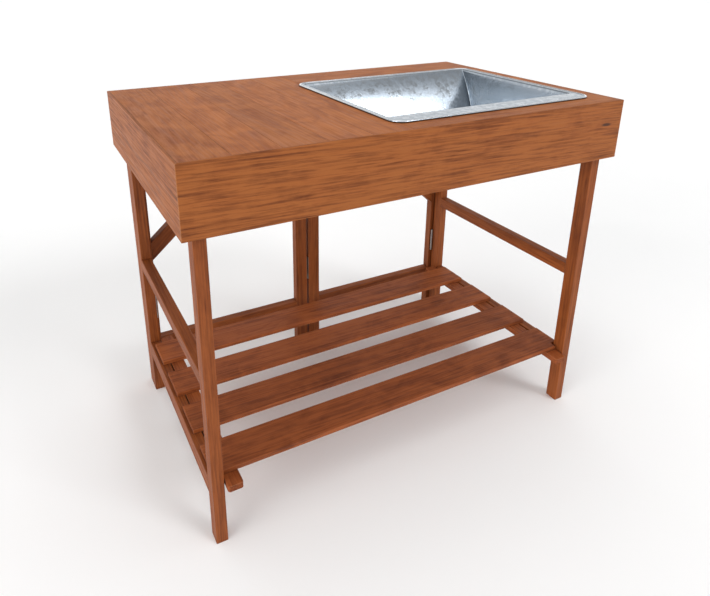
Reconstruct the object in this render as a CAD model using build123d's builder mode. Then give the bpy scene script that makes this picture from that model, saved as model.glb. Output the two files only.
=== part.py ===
"""Folding potting bench: a lid-like wooden top with a lift-out sheet-metal tray,
carried by four hinged frames, with a loose slatted shelf between the side frames.

Millimetres, +Z up, +X along the bench to the tray's end, -Y the front.
The origin is on the floor under the middle of the top.
"""
from build123d import *
from math import hypot
import os

os.makedirs("parts", exist_ok=True)

# ---- whole bench -------------------------------------------------------------
length = 990.0
depth = 622.0
height = 800.0
half_length = length / 2
half_depth = depth / 2
edge_ease = 1.5

# ---- top: aprons, worktop boards, strips round the tray, battens -------------
apron_height = 131.0
apron_thick = 18.0
apron_lip = 4.0
board_thick = 18.0
board_count = 5
board_ease = 0.9
board_gap = 0.5
board_bottom = height - board_thick
apron_bottom = height - apron_height
front_strip_edge = -217.0
rear_strip_edge = 166.0
panel_edge = -57.0
right_strip_edge = 437.0
top_batten_width = 34.0
top_batten_thick = 18.0
top_batten_bottom = board_bottom - top_batten_thick
top_batten_end = 443.0
front_batten_y = -272.0
rear_batten_y = 190.0
middle_batten_y = -42.0
tray_batten_x = -76.0
batten_gap = 2.0
batten_end_margin = 16.0
strip_screw_x = (40.0, 170.0, 300.0, 415.0)
tray_batten_screw_y = (-200.0, -95.0, 10.0, 115.0)

# ---- tray: tapered tub, flat rim wide at the front, rolled edge --------------
tray_clearance = 2.0
tray_wall = 1.0
tray_depth = 118.0
tray_end_taper = 12.0
tray_front_taper = 41.0
tray_rear_taper = 75.0
tray_corner = 12.0
tray_bottom_corner = 10.0
rim_width = 16.0
front_rim_width = 50.0
rim_corner = 30.0
rim_bead = 2.2
rim_bead_sink = 0.2
tray_bend = 4.0

# ---- base: side frames and rear half frames ----------------------------------
stock = 24.0
leg_width = 31.0
post_width = 34.0
side_inset = 22.0
front_inset = 20.0
rear_inset = apron_thick + 2.0
hinge_gap = 2.4
middle_gap = 6.0
shelf_rail = (106.0, 148.0)
rear_lower_rail = (93.0, 135.0)
middle_rail = (360.0, 388.0)
top_rail = (750.0, board_bottom)
tenon_thick = 8.0
tenon_length = 18.0
tenon_shoulder = 5.0
brace_low = 390.0
brace_high = 745.0
brace_width = 37.6

frame_outer = half_length - side_inset
frame_inner = frame_outer - stock
front_leg_front = -half_depth + front_inset
front_leg_back = front_leg_front + leg_width
rear_face = half_depth - rear_inset
rear_front = rear_face - stock
rear_leg_back = rear_front - hinge_gap
rear_leg_front = rear_leg_back - leg_width
post_inner = frame_outer - post_width
middle_post_near = middle_gap / 2
middle_post_far = middle_post_near + post_width

# ---- shelf: four slats on two battens ----------------------------------------
slat_length = 929.0
slat_width = 85.0
slat_thick = 10.0
slat_pitch = 132.0
slat_count = 4
slat_ease = 1.5
first_slat_back = 208.8
shelf_x = -1.5
shelf_batten_width = 31.0
shelf_batten_thick = 15.0
shelf_batten_reach = 34.8
shelf_batten_inset = 19.5
shelf_batten_round = 5.0
leg_notch_clearance = 4.0
slat_bottom = shelf_rail[1]
shelf_batten_bottom = slat_bottom - shelf_batten_thick
last_slat_front = first_slat_back - (slat_count - 1) * slat_pitch - slat_width
shelf_batten_x = slat_length / 2 - shelf_batten_inset - shelf_batten_width / 2

# ---- wood screws and hinges --------------------------------------------------
screw_radius = 1.9
screw_head_radius = 3.6
screw_head_depth = 2.4
screw_fit = 0.06
screw_point = 3.0
drill_allowance = 0.5
top_screw_length = 30.0
shelf_screw_length = 22.0
hinge_height = 70.0
hinge_knuckles = 5
hinge_leaf = 1.1
hinge_leaf_width = 21.8
knuckle_radius = 3.2
knuckle_gap = 0.1
knuckle_stand_off = 3.6
knuckle_clearance = 0.2
pin_radius = 1.5
pin_fit = 0.05
hinge_screw_radius = 1.4
hinge_screw_head = 2.6
hinge_screw_length = 16.0
hinge_screw_spread = 21.0
hinge_screw_inner = 7.0
hinge_bottoms = (200.0, 570.0)

UP = (Align.CENTER, Align.CENTER, Align.MIN)


def save(piece, label):
    """Label a finished piece and write it as its own file."""
    piece.part.label = label
    export_step(piece.part, f"parts/{label}.step")


def block(low, high, ease=edge_ease, along=Axis.Z):
    """A planed stick between two corners, its long edges eased."""
    size = [b - a for a, b in zip(low, high)]
    middle = [(a + b) / 2 for a, b in zip(low, high)]
    with BuildPart() as stick:
        with Locations(tuple(middle)):
            Box(*size)
        fillet(stick.edges().filter_by(along), ease)
    return stick.part


def screw(radius, head_radius, head_depth, long):
    """A countersunk wood screw, its head at the origin and its point up +Z."""
    with BuildPart() as body:
        with BuildSketch(Plane.XZ):
            with BuildLine():
                Polyline(
                    (0, 0),
                    (head_radius, 0),
                    (radius, head_depth),
                    (radius, long - screw_point),
                    (0, long),
                    close=True,
                )
            make_face()
        revolve(axis=Axis.Z)
    return body.part


def drill_up(points, bottom, reach, radius):
    """Round holes going up from a level, cut in the piece being built."""
    for x, y in points:
        with Locations((x, y, bottom)):
            Cylinder(radius, reach, align=UP, mode=Mode.SUBTRACT)


def sink_up(points, bottom, head_radius, radius, head_depth):
    """Countersinks opening downward at a level, cut in the piece being built."""
    for x, y in points:
        with Locations((x, y, bottom)):
            Cone(head_radius, radius, head_depth, align=UP, mode=Mode.SUBTRACT)


def inside(points, x_range, y_range):
    """The points that lie under one board."""
    return [
        (x, y) for x, y in points
        if x_range[0] < x < x_range[1] and y_range[0] < y < y_range[1]
    ]


# ---- base: side frames -------------------------------------------------------
def rail_with_tenons(low, high, axis):
    """A rail with a tenon at each end. axis 0 runs along X, axis 1 along Y."""
    across = 1 - axis
    middle = [(a + b) / 2 for a, b in zip(low, high)]
    size = [b - a for a, b in zip(low, high)]
    tenon = list(size)
    tenon[axis] = size[axis] + 2 * tenon_length
    tenon[across] = tenon_thick
    tenon[2] = size[2] - 2 * tenon_shoulder
    with BuildPart() as rail:
        add(block(low, high, along=Axis.X if axis == 0 else Axis.Y))
        with Locations(tuple(middle)):
            Box(*tenon)
    return rail


def mortise(at, into, levels, axis):
    """Cut a blind mortise for one rail's tenon, from the face at, towards into."""
    bottom, top = levels
    direction = 1 if into[axis] > at[axis] else -1
    centre = list(at)
    centre[axis] = at[axis] + direction * tenon_length / 2
    size = [tenon_thick, tenon_thick, top - bottom - 2 * tenon_shoulder]
    size[axis] = tenon_length
    with Locations((centre[0], centre[1], (bottom + top) / 2)):
        Box(*size, mode=Mode.SUBTRACT)


def hinge_screw_levels(bottom, outer):
    """Heights of one leaf's two screws: the outer pair, or the inner pair."""
    middle = bottom + hinge_height / 2
    spread = hinge_screw_spread if outer else hinge_screw_inner
    return (middle - spread, middle + spread)


side_rails = {"shelf_rail": shelf_rail, "middle_rail": middle_rail, "top_rail": top_rail}
leg_middle_x = (frame_outer + frame_inner) / 2
hinge_screw_hole = hinge_screw_length - hinge_leaf + drill_allowance

for side, hand in (("left", -1), ("right", 1)):
    near = min(hand * frame_outer, hand * frame_inner)
    far = near + stock
    mid = hand * leg_middle_x

    with BuildPart() as front_leg:
        add(block((near, front_leg_front, 0), (far, front_leg_back, board_bottom)))
        for levels in side_rails.values():
            mortise((mid, front_leg_back), (mid, front_leg_front), levels, axis=1)
    save(front_leg, f"{side}_frame_front_leg")

    with BuildPart() as rear_leg:
        add(block((near, rear_leg_front, 0), (far, rear_leg_back, board_bottom)))
        for levels in side_rails.values():
            mortise((mid, rear_leg_front), (mid, rear_leg_back), levels, axis=1)
        for bottom in hinge_bottoms:
            for level in hinge_screw_levels(bottom, outer=True):
                with Locations(Plane((mid, rear_leg_back, level), z_dir=(0, -1, 0))):
                    Cylinder(
                        hinge_screw_radius + screw_fit,
                        hinge_screw_hole,
                        align=UP,
                        mode=Mode.SUBTRACT,
                    )
    save(rear_leg, f"{side}_frame_rear_leg")

    for rail_name, (bottom, top) in side_rails.items():
        rail = rail_with_tenons(
            (near, front_leg_back, bottom), (far, rear_leg_front, top), axis=1
        )
        save(rail, f"{side}_frame_{rail_name}")

# ---- base: rear half frames --------------------------------------------------
rear_rails = {"lower_rail": rear_lower_rail, "top_rail": top_rail}
rear_middle_y = (rear_front + rear_face) / 2

for side, hand in (("left", -1), ("right", 1)):
    corner_x = sorted((hand * frame_outer, hand * post_inner))
    middle_x = sorted((hand * middle_post_near, hand * middle_post_far))
    corner_face = (hand * post_inner, rear_middle_y)
    middle_face = (hand * middle_post_far, rear_middle_y)
    outward = (hand * frame_outer, rear_middle_y)
    inward = (0.0, rear_middle_y)

    with BuildPart() as corner_post:
        add(block((corner_x[0], rear_front, 0), (corner_x[1], rear_face, board_bottom)))
        for levels in rear_rails.values():
            mortise(corner_face, outward, levels, axis=0)
        for bottom in hinge_bottoms:
            for level in hinge_screw_levels(bottom, outer=False):
                with Locations(
                    Plane((hand * leg_middle_x, rear_front, level), z_dir=(0, 1, 0))
                ):
                    Cylinder(
                        hinge_screw_radius + screw_fit,
                        hinge_screw_hole,
                        align=UP,
                        mode=Mode.SUBTRACT,
                    )
    save(corner_post, f"rear_{side}_corner_post")

    with BuildPart() as middle_post:
        add(block((middle_x[0], rear_front, 0), (middle_x[1], rear_face, board_bottom)))
        for levels in rear_rails.values():
            mortise(middle_face, inward, levels, axis=0)
        for bottom in hinge_bottoms:
            for level in hinge_screw_levels(bottom, outer=hand < 0):
                with Locations(
                    Plane((hand * middle_post_near, rear_middle_y, level), z_dir=(hand, 0, 0))
                ):
                    Cylinder(
                        hinge_screw_radius + screw_fit,
                        hinge_screw_hole,
                        align=UP,
                        mode=Mode.SUBTRACT,
                    )
    save(middle_post, f"rear_{side}_middle_post")

    rail_x = sorted((hand * post_inner, hand * middle_post_far))
    for rail_name, (bottom, top) in rear_rails.items():
        rail = rail_with_tenons(
            (rail_x[0], rear_front, bottom), (rail_x[1], rear_face, top), axis=0
        )
        save(rail, f"rear_{side}_{rail_name}")

    # The brace rises from the corner post to the corner under the top rail.
    rise = brace_high - brace_low
    run = post_inner - middle_post_far
    half_plumb = brace_width / 2 * hypot(rise, run) / run
    slope = rise / run
    under_rail = post_inner - (top_rail[0] - brace_low - half_plumb) / slope
    with BuildPart() as brace:
        with BuildSketch(Plane.XZ.offset(-rear_face)):
            with BuildLine():
                Polyline(
                    (hand * post_inner, brace_low - half_plumb),
                    (hand * middle_post_far, brace_high - half_plumb),
                    (hand * middle_post_far, top_rail[0]),
                    (hand * under_rail, top_rail[0]),
                    (hand * post_inner, brace_low + half_plumb),
                    close=True,
                )
            make_face()
        extrude(amount=stock)
        up_the_brace = Axis((0, 0, 0), (-hand * run, 0, rise))
        fillet(brace.edges().filter_by(up_the_brace), edge_ease)
    save(brace, f"rear_{side}_brace")


# ---- base: hinges ------------------------------------------------------------
def leaf(near, far, knuckles):
    """One hinge leaf. The pin is on local Z, the plate reaches towards -X.

    The plate lies between near and far from the pin line, and its knuckles take
    every second place.
    """
    pitch = hinge_height / hinge_knuckles
    plate_edge = -knuckle_stand_off - knuckle_gap
    with BuildPart() as one:
        with BuildSketch():
            with Locations((plate_edge - hinge_leaf_width / 2, (near + far) / 2)):
                Rectangle(hinge_leaf_width, far - near)
        extrude(amount=hinge_height)
        for place in knuckles:
            with BuildSketch(Plane.XY.offset(place * pitch + knuckle_gap / 2)):
                with Locations((plate_edge / 2, (near + far) / 2)):
                    Rectangle(-plate_edge, far - near)
                Circle(knuckle_radius)
                Circle(pin_radius + pin_fit, mode=Mode.SUBTRACT)
            extrude(amount=pitch - knuckle_gap)
    return one.part


def sink_leaf(points, z_dir):
    """Countersunk screw holes through a leaf, from its open face."""
    for point in points:
        with Locations(Plane(point, z_dir=z_dir)):
            Cone(
                hinge_screw_head + screw_fit,
                hinge_screw_radius + screw_fit,
                hinge_leaf,
                align=UP,
                mode=Mode.SUBTRACT,
            )


corner_pin = (-frame_inner + knuckle_stand_off, rear_front - knuckle_radius - knuckle_clearance)
middle_pin = (0.0, rear_face + knuckle_stand_off)
leg_leaf_near = rear_leg_back - corner_pin[1]
post_leaf_far = rear_front - corner_pin[1]
first_knuckles = range(0, hinge_knuckles, 2)
second_knuckles = range(1, hinge_knuckles, 2)
leg_leaf = leaf(leg_leaf_near, leg_leaf_near + hinge_leaf, first_knuckles)
post_leaf = leaf(post_leaf_far - hinge_leaf, post_leaf_far, second_knuckles)
half_gap_leaf = leaf(middle_post_near - hinge_leaf, middle_post_near, first_knuckles)
other_gap_leaf = leaf(-middle_post_near, hinge_leaf - middle_post_near, second_knuckles)
leg_leaf_face = rear_leg_back + hinge_leaf
post_leaf_face = rear_front - hinge_leaf
gap_leaf_face = middle_post_near - hinge_leaf

with BuildPart() as corner_leg_leaves:
    for bottom in hinge_bottoms:
        with Locations((corner_pin[0], corner_pin[1], bottom)):
            add(leg_leaf)
        levels = hinge_screw_levels(bottom, outer=True)
        sink_leaf([(-leg_middle_x, leg_leaf_face, z) for z in levels], (0, -1, 0))
    mirror(about=Plane.YZ)
save(corner_leg_leaves, "corner_hinge_leg_leaves")

with BuildPart() as corner_post_leaves:
    for bottom in hinge_bottoms:
        with Locations((corner_pin[0], corner_pin[1], bottom)):
            add(post_leaf)
        levels = hinge_screw_levels(bottom, outer=False)
        sink_leaf([(-leg_middle_x, post_leaf_face, z) for z in levels], (0, 1, 0))
    mirror(about=Plane.YZ)
save(corner_post_leaves, "corner_hinge_post_leaves")

with BuildPart() as middle_left_leaves:
    for bottom in hinge_bottoms:
        with Locations(Location((middle_pin[0], middle_pin[1], bottom), (0, 0, 90))):
            add(half_gap_leaf)
        levels = hinge_screw_levels(bottom, outer=True)
        sink_leaf([(-gap_leaf_face, rear_middle_y, z) for z in levels], (-1, 0, 0))
save(middle_left_leaves, "middle_hinge_left_leaves")

with BuildPart() as middle_right_leaves:
    for bottom in hinge_bottoms:
        with Locations(Location((middle_pin[0], middle_pin[1], bottom), (0, 0, 90))):
            add(other_gap_leaf)
        levels = hinge_screw_levels(bottom, outer=False)
        sink_leaf([(gap_leaf_face, rear_middle_y, z) for z in levels], (1, 0, 0))
save(middle_right_leaves, "middle_hinge_right_leaves")

with BuildPart() as corner_pins:
    for bottom in hinge_bottoms:
        for hand in (1, -1):
            with Locations((hand * corner_pin[0], corner_pin[1], bottom)):
                Cylinder(pin_radius, hinge_height, align=UP)
save(corner_pins, "corner_hinge_pins")

with BuildPart() as middle_pins:
    for bottom in hinge_bottoms:
        with Locations((middle_pin[0], middle_pin[1], bottom)):
            Cylinder(pin_radius, hinge_height, align=UP)
save(middle_pins, "middle_hinge_pins")

small_screw = screw(hinge_screw_radius, hinge_screw_head, hinge_leaf, hinge_screw_length)
with BuildPart() as hinge_screws:
    for bottom in hinge_bottoms:
        for level in hinge_screw_levels(bottom, outer=True):
            for x in (-leg_middle_x, leg_middle_x):
                with Locations(Plane((x, leg_leaf_face, level), z_dir=(0, -1, 0))):
                    add(small_screw)
            with Locations(Plane((-gap_leaf_face, rear_middle_y, level), z_dir=(-1, 0, 0))):
                add(small_screw)
        for level in hinge_screw_levels(bottom, outer=False):
            for x in (-leg_middle_x, leg_middle_x):
                with Locations(Plane((x, post_leaf_face, level), z_dir=(0, 1, 0))):
                    add(small_screw)
            with Locations(Plane((gap_leaf_face, rear_middle_y, level), z_dir=(1, 0, 0))):
                add(small_screw)
save(hinge_screws, "hinge_screws")

# ---- shelf -------------------------------------------------------------------
shelf_screw_points = []
for place in range(slat_count):
    slat_middle = first_slat_back - place * slat_pitch - slat_width / 2
    for x in (shelf_x - shelf_batten_x, shelf_x + shelf_batten_x):
        for y in (slat_middle - slat_width / 4, slat_middle + slat_width / 4):
            shelf_screw_points.append((x, y))

for place in range(slat_count):
    back = first_slat_back - place * slat_pitch
    front = back - slat_width
    with BuildPart() as slat:
        with BuildSketch(Plane.XY.offset(slat_bottom)):
            with Locations((shelf_x, (front + back) / 2)):
                Rectangle(slat_length, slat_width)
            if place == slat_count - 1:
                notch_depth = front_leg_back + leg_notch_clearance - front
                end = slat_length / 2 - shelf_batten_inset / 2
                with Locations(
                    (shelf_x - end, front + notch_depth / 2),
                    (shelf_x + end, front + notch_depth / 2),
                ):
                    Rectangle(shelf_batten_inset, notch_depth, mode=Mode.SUBTRACT)
        extrude(amount=slat_thick)
        fillet(slat.faces().sort_by(Axis.Z)[-1].edges(), slat_ease)
        points = inside(shelf_screw_points, (-half_length, half_length), (front, back))
        drill_up(
            points,
            slat_bottom,
            shelf_screw_length - shelf_batten_thick + drill_allowance,
            screw_radius + screw_fit,
        )
    save(slat, f"shelf_slat_{place + 1}")

batten_front = last_slat_front - shelf_batten_reach
batten_back = first_slat_back + shelf_batten_reach
for side, hand in (("left", -1), ("right", 1)):
    x = shelf_x + hand * shelf_batten_x
    with BuildPart() as batten:
        with BuildSketch(Plane.XY.offset(shelf_batten_bottom)):
            with Locations((x, (batten_front + batten_back) / 2)):
                RectangleRounded(
                    shelf_batten_width, batten_back - batten_front, shelf_batten_round
                )
        extrude(amount=shelf_batten_thick)
        chamfer(batten.faces().sort_by(Axis.Z)[0].edges(), edge_ease)
        points = inside(shelf_screw_points, (x - 1, x + 1), (batten_front, batten_back))
        drill_up(points, shelf_batten_bottom, shelf_batten_thick, screw_radius + screw_fit)
        sink_up(
            points,
            shelf_batten_bottom,
            screw_head_radius + screw_fit,
            screw_radius + screw_fit,
            screw_head_depth,
        )
    save(batten, f"shelf_{side}_batten")

shelf_screw = screw(screw_radius, screw_head_radius, screw_head_depth, shelf_screw_length)
with BuildPart() as shelf_screws:
    with Locations(*[(x, y, shelf_batten_bottom) for x, y in shelf_screw_points]):
        add(shelf_screw)
save(shelf_screws, "shelf_screws")


# ---- top: aprons -------------------------------------------------------------
def apron(outline, outer_face):
    """A mitred apron board with a rebate along its inner top edge."""
    with BuildPart() as board:
        with BuildSketch(Plane.XY.offset(apron_bottom)):
            with BuildLine():
                Polyline(*outline, close=True)
            make_face()
        extrude(amount=apron_height)
        with BuildSketch(Plane.XY.offset(board_bottom)):
            Rectangle(length - 2 * apron_lip, depth - 2 * apron_lip)
        extrude(amount=board_thick, mode=Mode.SUBTRACT)
        face = board.faces().sort_by(outer_face)[-1]
        along = Axis.X if abs(outer_face.direction.Y) > 0.5 else Axis.Y
        fillet(face.edges().filter_by(along), edge_ease)
    return board


outer_x = half_length
outer_y = half_depth
inner_x = half_length - apron_thick
inner_y = half_depth - apron_thick
front_outline = ((-outer_x, -outer_y), (outer_x, -outer_y), (inner_x, -inner_y), (-inner_x, -inner_y))
rear_outline = tuple((x, -y) for x, y in front_outline)
left_outline = ((-outer_x, -outer_y), (-inner_x, -inner_y), (-inner_x, inner_y), (-outer_x, outer_y))
right_outline = tuple((-x, y) for x, y in left_outline)
save(apron(front_outline, Axis((0, 0, 0), (0, -1, 0))), "front_apron")
save(apron(rear_outline, Axis((0, 0, 0), (0, 1, 0))), "rear_apron")
save(apron(left_outline, Axis((0, 0, 0), (-1, 0, 0))), "left_apron")
save(apron(right_outline, Axis((0, 0, 0), (1, 0, 0))), "right_apron")

# ---- top: boards, strips, battens and their screws ---------------------------
board_inset = apron_lip + board_gap
board_left = -half_length + board_inset
board_right = half_length - board_inset
board_front = -half_depth + board_inset
board_back = half_depth - board_inset
board_width = (panel_edge - board_left) / board_count
board_screw_x = [
    max(board_left + (k + 0.5) * board_width, batten_end_margin - top_batten_end)
    for k in range(board_count)
]

row_screws = [(x, y) for y in (front_batten_y, rear_batten_y) for x in board_screw_x]
row_screws += [(x, y) for y in (front_batten_y, rear_batten_y) for x in strip_screw_x]
middle_screws = [(x, middle_batten_y) for x in board_screw_x[:-1]]
tray_side_screws = [(tray_batten_x, y) for y in tray_batten_screw_y]
top_screw_points = row_screws + middle_screws + tray_side_screws

boards = {
    f"worktop_board_{k + 1}": (
        (board_left + k * board_width, board_left + (k + 1) * board_width),
        (board_front, board_back),
    )
    for k in range(board_count)
}
boards["worktop_front_strip"] = ((panel_edge, board_right), (board_front, front_strip_edge))
boards["worktop_rear_strip"] = ((panel_edge, board_right), (rear_strip_edge, board_back))
boards["worktop_right_strip"] = (
    (right_strip_edge, board_right),
    (front_strip_edge, rear_strip_edge),
)
for board_name, (x_range, y_range) in boards.items():
    with BuildPart() as board:
        with BuildSketch(Plane.XY.offset(board_bottom)):
            with Locations((sum(x_range) / 2, sum(y_range) / 2)):
                Rectangle(x_range[1] - x_range[0], y_range[1] - y_range[0])
        extrude(amount=board_thick)
        chamfer(board.faces().sort_by(Axis.Z)[-1].edges(), board_ease)
        drill_up(
            inside(top_screw_points, x_range, y_range),
            board_bottom,
            top_screw_length - top_batten_thick + drill_allowance,
            screw_radius + screw_fit,
        )
    save(board, board_name)

half_batten = top_batten_width / 2
top_battens = {
    "top_front_batten": (
        (-top_batten_end, top_batten_end),
        (front_batten_y - half_batten, front_batten_y + half_batten),
    ),
    "top_rear_batten": (
        (-top_batten_end, top_batten_end),
        (rear_batten_y - half_batten, rear_batten_y + half_batten),
    ),
    "top_middle_batten": (
        (-top_batten_end, tray_batten_x - half_batten - batten_gap),
        (middle_batten_y - half_batten, middle_batten_y + half_batten),
    ),
    "top_tray_batten": (
        (tray_batten_x - half_batten, tray_batten_x + half_batten),
        (
            front_batten_y + half_batten + batten_gap,
            rear_batten_y - half_batten - batten_gap,
        ),
    ),
}
for batten_name, (x_range, y_range) in top_battens.items():
    with BuildPart() as batten:
        with BuildSketch(Plane.XY.offset(top_batten_bottom)):
            with Locations((sum(x_range) / 2, sum(y_range) / 2)):
                Rectangle(x_range[1] - x_range[0], y_range[1] - y_range[0])
        extrude(amount=top_batten_thick)
        chamfer(batten.faces().sort_by(Axis.Z)[0].edges(), edge_ease)
        points = inside(top_screw_points, x_range, y_range)
        drill_up(points, top_batten_bottom, top_batten_thick, screw_radius + screw_fit)
        sink_up(
            points,
            top_batten_bottom,
            screw_head_radius + screw_fit,
            screw_radius + screw_fit,
            screw_head_depth,
        )
    save(batten, batten_name)

top_screw = screw(screw_radius, screw_head_radius, screw_head_depth, top_screw_length)
with BuildPart() as top_screws:
    with Locations(*[(x, y, top_batten_bottom) for x, y in top_screw_points]):
        add(top_screw)
save(top_screws, "top_screws")

# ---- tray --------------------------------------------------------------------
tray_x = (panel_edge + right_strip_edge) / 2
mouth_middle = (front_strip_edge + rear_strip_edge) / 2
rim_middle = mouth_middle + (rim_width - front_rim_width) / 2
floor_middle = mouth_middle + (tray_front_taper - tray_rear_taper) / 2
mouth_x = right_strip_edge - panel_edge - 2 * tray_clearance
mouth_y = rear_strip_edge - front_strip_edge - 2 * tray_clearance
floor_x = mouth_x - 2 * tray_end_taper
floor_y = mouth_y - tray_front_taper - tray_rear_taper
bead_level = height + rim_bead - rim_bead_sink
rim_top = bead_level + tray_wall
tray_bottom = rim_top - tray_depth
rim_x = mouth_x + 2 * rim_width
rim_y = mouth_y + rim_width + front_rim_width


def tray_level(y, z):
    """A level plane at a height, over a point on the tray's middle line."""
    return Plane((tray_x, y, z))


with BuildSketch(tray_level(rim_middle, bead_level)) as bead_outline:
    bead_x = rim_x - 2 * rim_bead
    bead_y = rim_y - 2 * rim_bead
    RectangleRounded(bead_x, bead_y, rim_corner - rim_bead)
bead_path = bead_outline.sketch.wires()[0]

with BuildPart() as tray:
    with BuildSketch(Plane(bead_path @ 0, z_dir=bead_path % 0)):
        Circle(rim_bead)
    sweep(path=bead_path)
    with BuildSketch(tray_level(rim_middle, height)):
        Rectangle(rim_x + rim_corner, rim_y + rim_corner)
    extrude(amount=-rim_bead, mode=Mode.SUBTRACT)
    with BuildSketch(tray_level(rim_middle, bead_level)):
        RectangleRounded(bead_x, bead_y, rim_corner - rim_bead)
    extrude(amount=tray_wall)
    with BuildSketch(tray_level(mouth_middle, bead_level + tray_wall / 2)):
        RectangleRounded(mouth_x, mouth_y, tray_corner)
    with BuildSketch(tray_level(floor_middle, tray_bottom)):
        RectangleRounded(floor_x, floor_y, tray_bottom_corner)
    loft()
    fillet(tray.faces().sort_by(Axis.Z)[0].edges(), tray_bend)
    with BuildSketch(tray_level(mouth_middle, rim_top)):
        RectangleRounded(
            mouth_x - 2 * tray_wall, mouth_y - 2 * tray_wall, tray_corner - tray_wall
        )
    with BuildSketch(tray_level(floor_middle, tray_bottom + tray_wall)):
        RectangleRounded(
            floor_x - 2 * tray_wall, floor_y - 2 * tray_wall, tray_bottom_corner - tray_wall
        )
    loft(mode=Mode.SUBTRACT)
    tray_floor = tray.faces().filter_by(Plane.XY).group_by(Axis.Z)[1].sort_by(SortBy.AREA)[-1]
    fillet(tray_floor.edges(), tray_bend - tray_wall)
save(tray, "tray")
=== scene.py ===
"""Folding potting bench: oiled boards, a galvanised lift-out tray and zinc-plated hardware."""

import math

import bpy
import numpy as np
from bpy.props import FloatProperty, FloatVectorProperty, PointerProperty
from mathutils import Euler, Matrix, Vector


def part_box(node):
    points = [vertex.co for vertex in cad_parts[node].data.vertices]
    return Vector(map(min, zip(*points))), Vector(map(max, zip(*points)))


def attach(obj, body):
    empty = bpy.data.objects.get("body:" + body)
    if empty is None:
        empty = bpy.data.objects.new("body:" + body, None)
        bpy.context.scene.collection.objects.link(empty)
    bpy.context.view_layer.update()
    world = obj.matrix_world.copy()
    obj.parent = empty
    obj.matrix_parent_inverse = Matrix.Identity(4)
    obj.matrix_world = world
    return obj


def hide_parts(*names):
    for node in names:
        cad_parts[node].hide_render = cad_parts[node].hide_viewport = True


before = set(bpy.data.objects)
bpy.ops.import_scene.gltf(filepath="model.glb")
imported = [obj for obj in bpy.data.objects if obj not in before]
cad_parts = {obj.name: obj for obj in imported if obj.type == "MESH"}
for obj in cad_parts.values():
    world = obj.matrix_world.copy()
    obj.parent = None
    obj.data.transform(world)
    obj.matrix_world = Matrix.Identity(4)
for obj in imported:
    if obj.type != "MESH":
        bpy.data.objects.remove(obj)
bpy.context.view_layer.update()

bl_info = {
    "name": "Potting Bench",
    "version": (1, 0, 0),
    "blender": (4, 5, 0),
    "location": "3D View > Sidebar > Potting Bench",
    "description": "Oiled wood, galvanised tray and plated hardware of a folding potting bench",
    "category": "Object",
}

SIDES = ("left", "right")
FRAME_STICKS = [
    f"{side}_frame_{stick}"
    for side in SIDES
    for stick in ("front_leg", "rear_leg", "shelf_rail", "middle_rail", "top_rail")
]
REAR_STICKS = [
    f"rear_{side}_{stick}"
    for side in SIDES
    for stick in ("corner_post", "middle_post", "lower_rail", "top_rail", "brace")
]
APRONS = [f"{side}_apron" for side in ("front", "rear", "left", "right")]
WORKTOP_BOARDS = [f"worktop_board_{k}" for k in range(1, 6)]
WORKTOP_STRIPS = [f"worktop_{side}_strip" for side in ("front", "rear", "right")]
TOP_BATTENS = [f"top_{place}_batten" for place in ("front", "rear", "middle", "tray")]
SLATS = [f"shelf_slat_{k}" for k in range(1, 5)]
SHELF_BATTENS = [f"shelf_{side}_batten" for side in SIDES]
HINGE_PARTS = [
    "corner_hinge_leg_leaves",
    "corner_hinge_post_leaves",
    "corner_hinge_pins",
    "middle_hinge_left_leaves",
    "middle_hinge_right_leaves",
    "middle_hinge_pins",
]


# ---- sizes and colours that a user would change -------------------------------------------
def colour(name, description, default):
    """A linear colour property."""
    return FloatVectorProperty(
        name=name, description=description, subtype="COLOR", size=3, min=0, max=1, default=default
    )


def share(name, description, default):
    """A property from 0 to 1."""
    return FloatProperty(
        name=name, description=description, subtype="FACTOR", min=0, max=1, default=default
    )


def metres(name, description, default):
    """A length property."""
    return FloatProperty(
        name=name,
        description=description,
        subtype="DISTANCE",
        unit="LENGTH",
        precision=4,
        default=default,
    )


class OiledWoodSettings(bpy.types.PropertyGroup):
    """Colours and grain of the oiled boards and sticks."""

    apron_pale: colour("Apron pale", "Early wood of the aprons", (0.338, 0.103, 0.0225))
    apron_dark: colour("Apron dark", "Late wood of the aprons", (0.120, 0.028, 0.0055))
    worktop_pale: colour("Worktop pale", "Early wood of the worktop", (0.415, 0.133, 0.031))
    worktop_dark: colour("Worktop dark", "Late wood of the worktop", (0.195, 0.049, 0.0105))
    stick_pale: colour("Stick pale", "Early wood of legs, posts and rails", (0.275, 0.073, 0.0155))
    stick_dark: colour("Stick dark", "Late wood of legs, posts and rails", (0.088, 0.018, 0.0038))
    slat_pale: colour("Slat pale", "Early wood of the shelf", (0.320, 0.084, 0.0215))
    slat_dark: colour("Slat dark", "Late wood of the shelf", (0.105, 0.022, 0.0052))
    knot: colour("Knot", "Heart of a knot", (0.045, 0.014, 0.006))
    ring_spacing: metres("Ring spacing", "Distance between two growth rings", 0.0062)
    # Reach of the paler edges, partly wear and partly a painted highlight.
    edge_radius: metres("Edge radius", "How far the rubbed edges reach", 0.0022)
    # Reach of the painted shade that darkens joints and inner corners.
    painted_shade_reach: metres("Painted shade reach", "How far grime spreads from a joint", 0.004)


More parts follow.
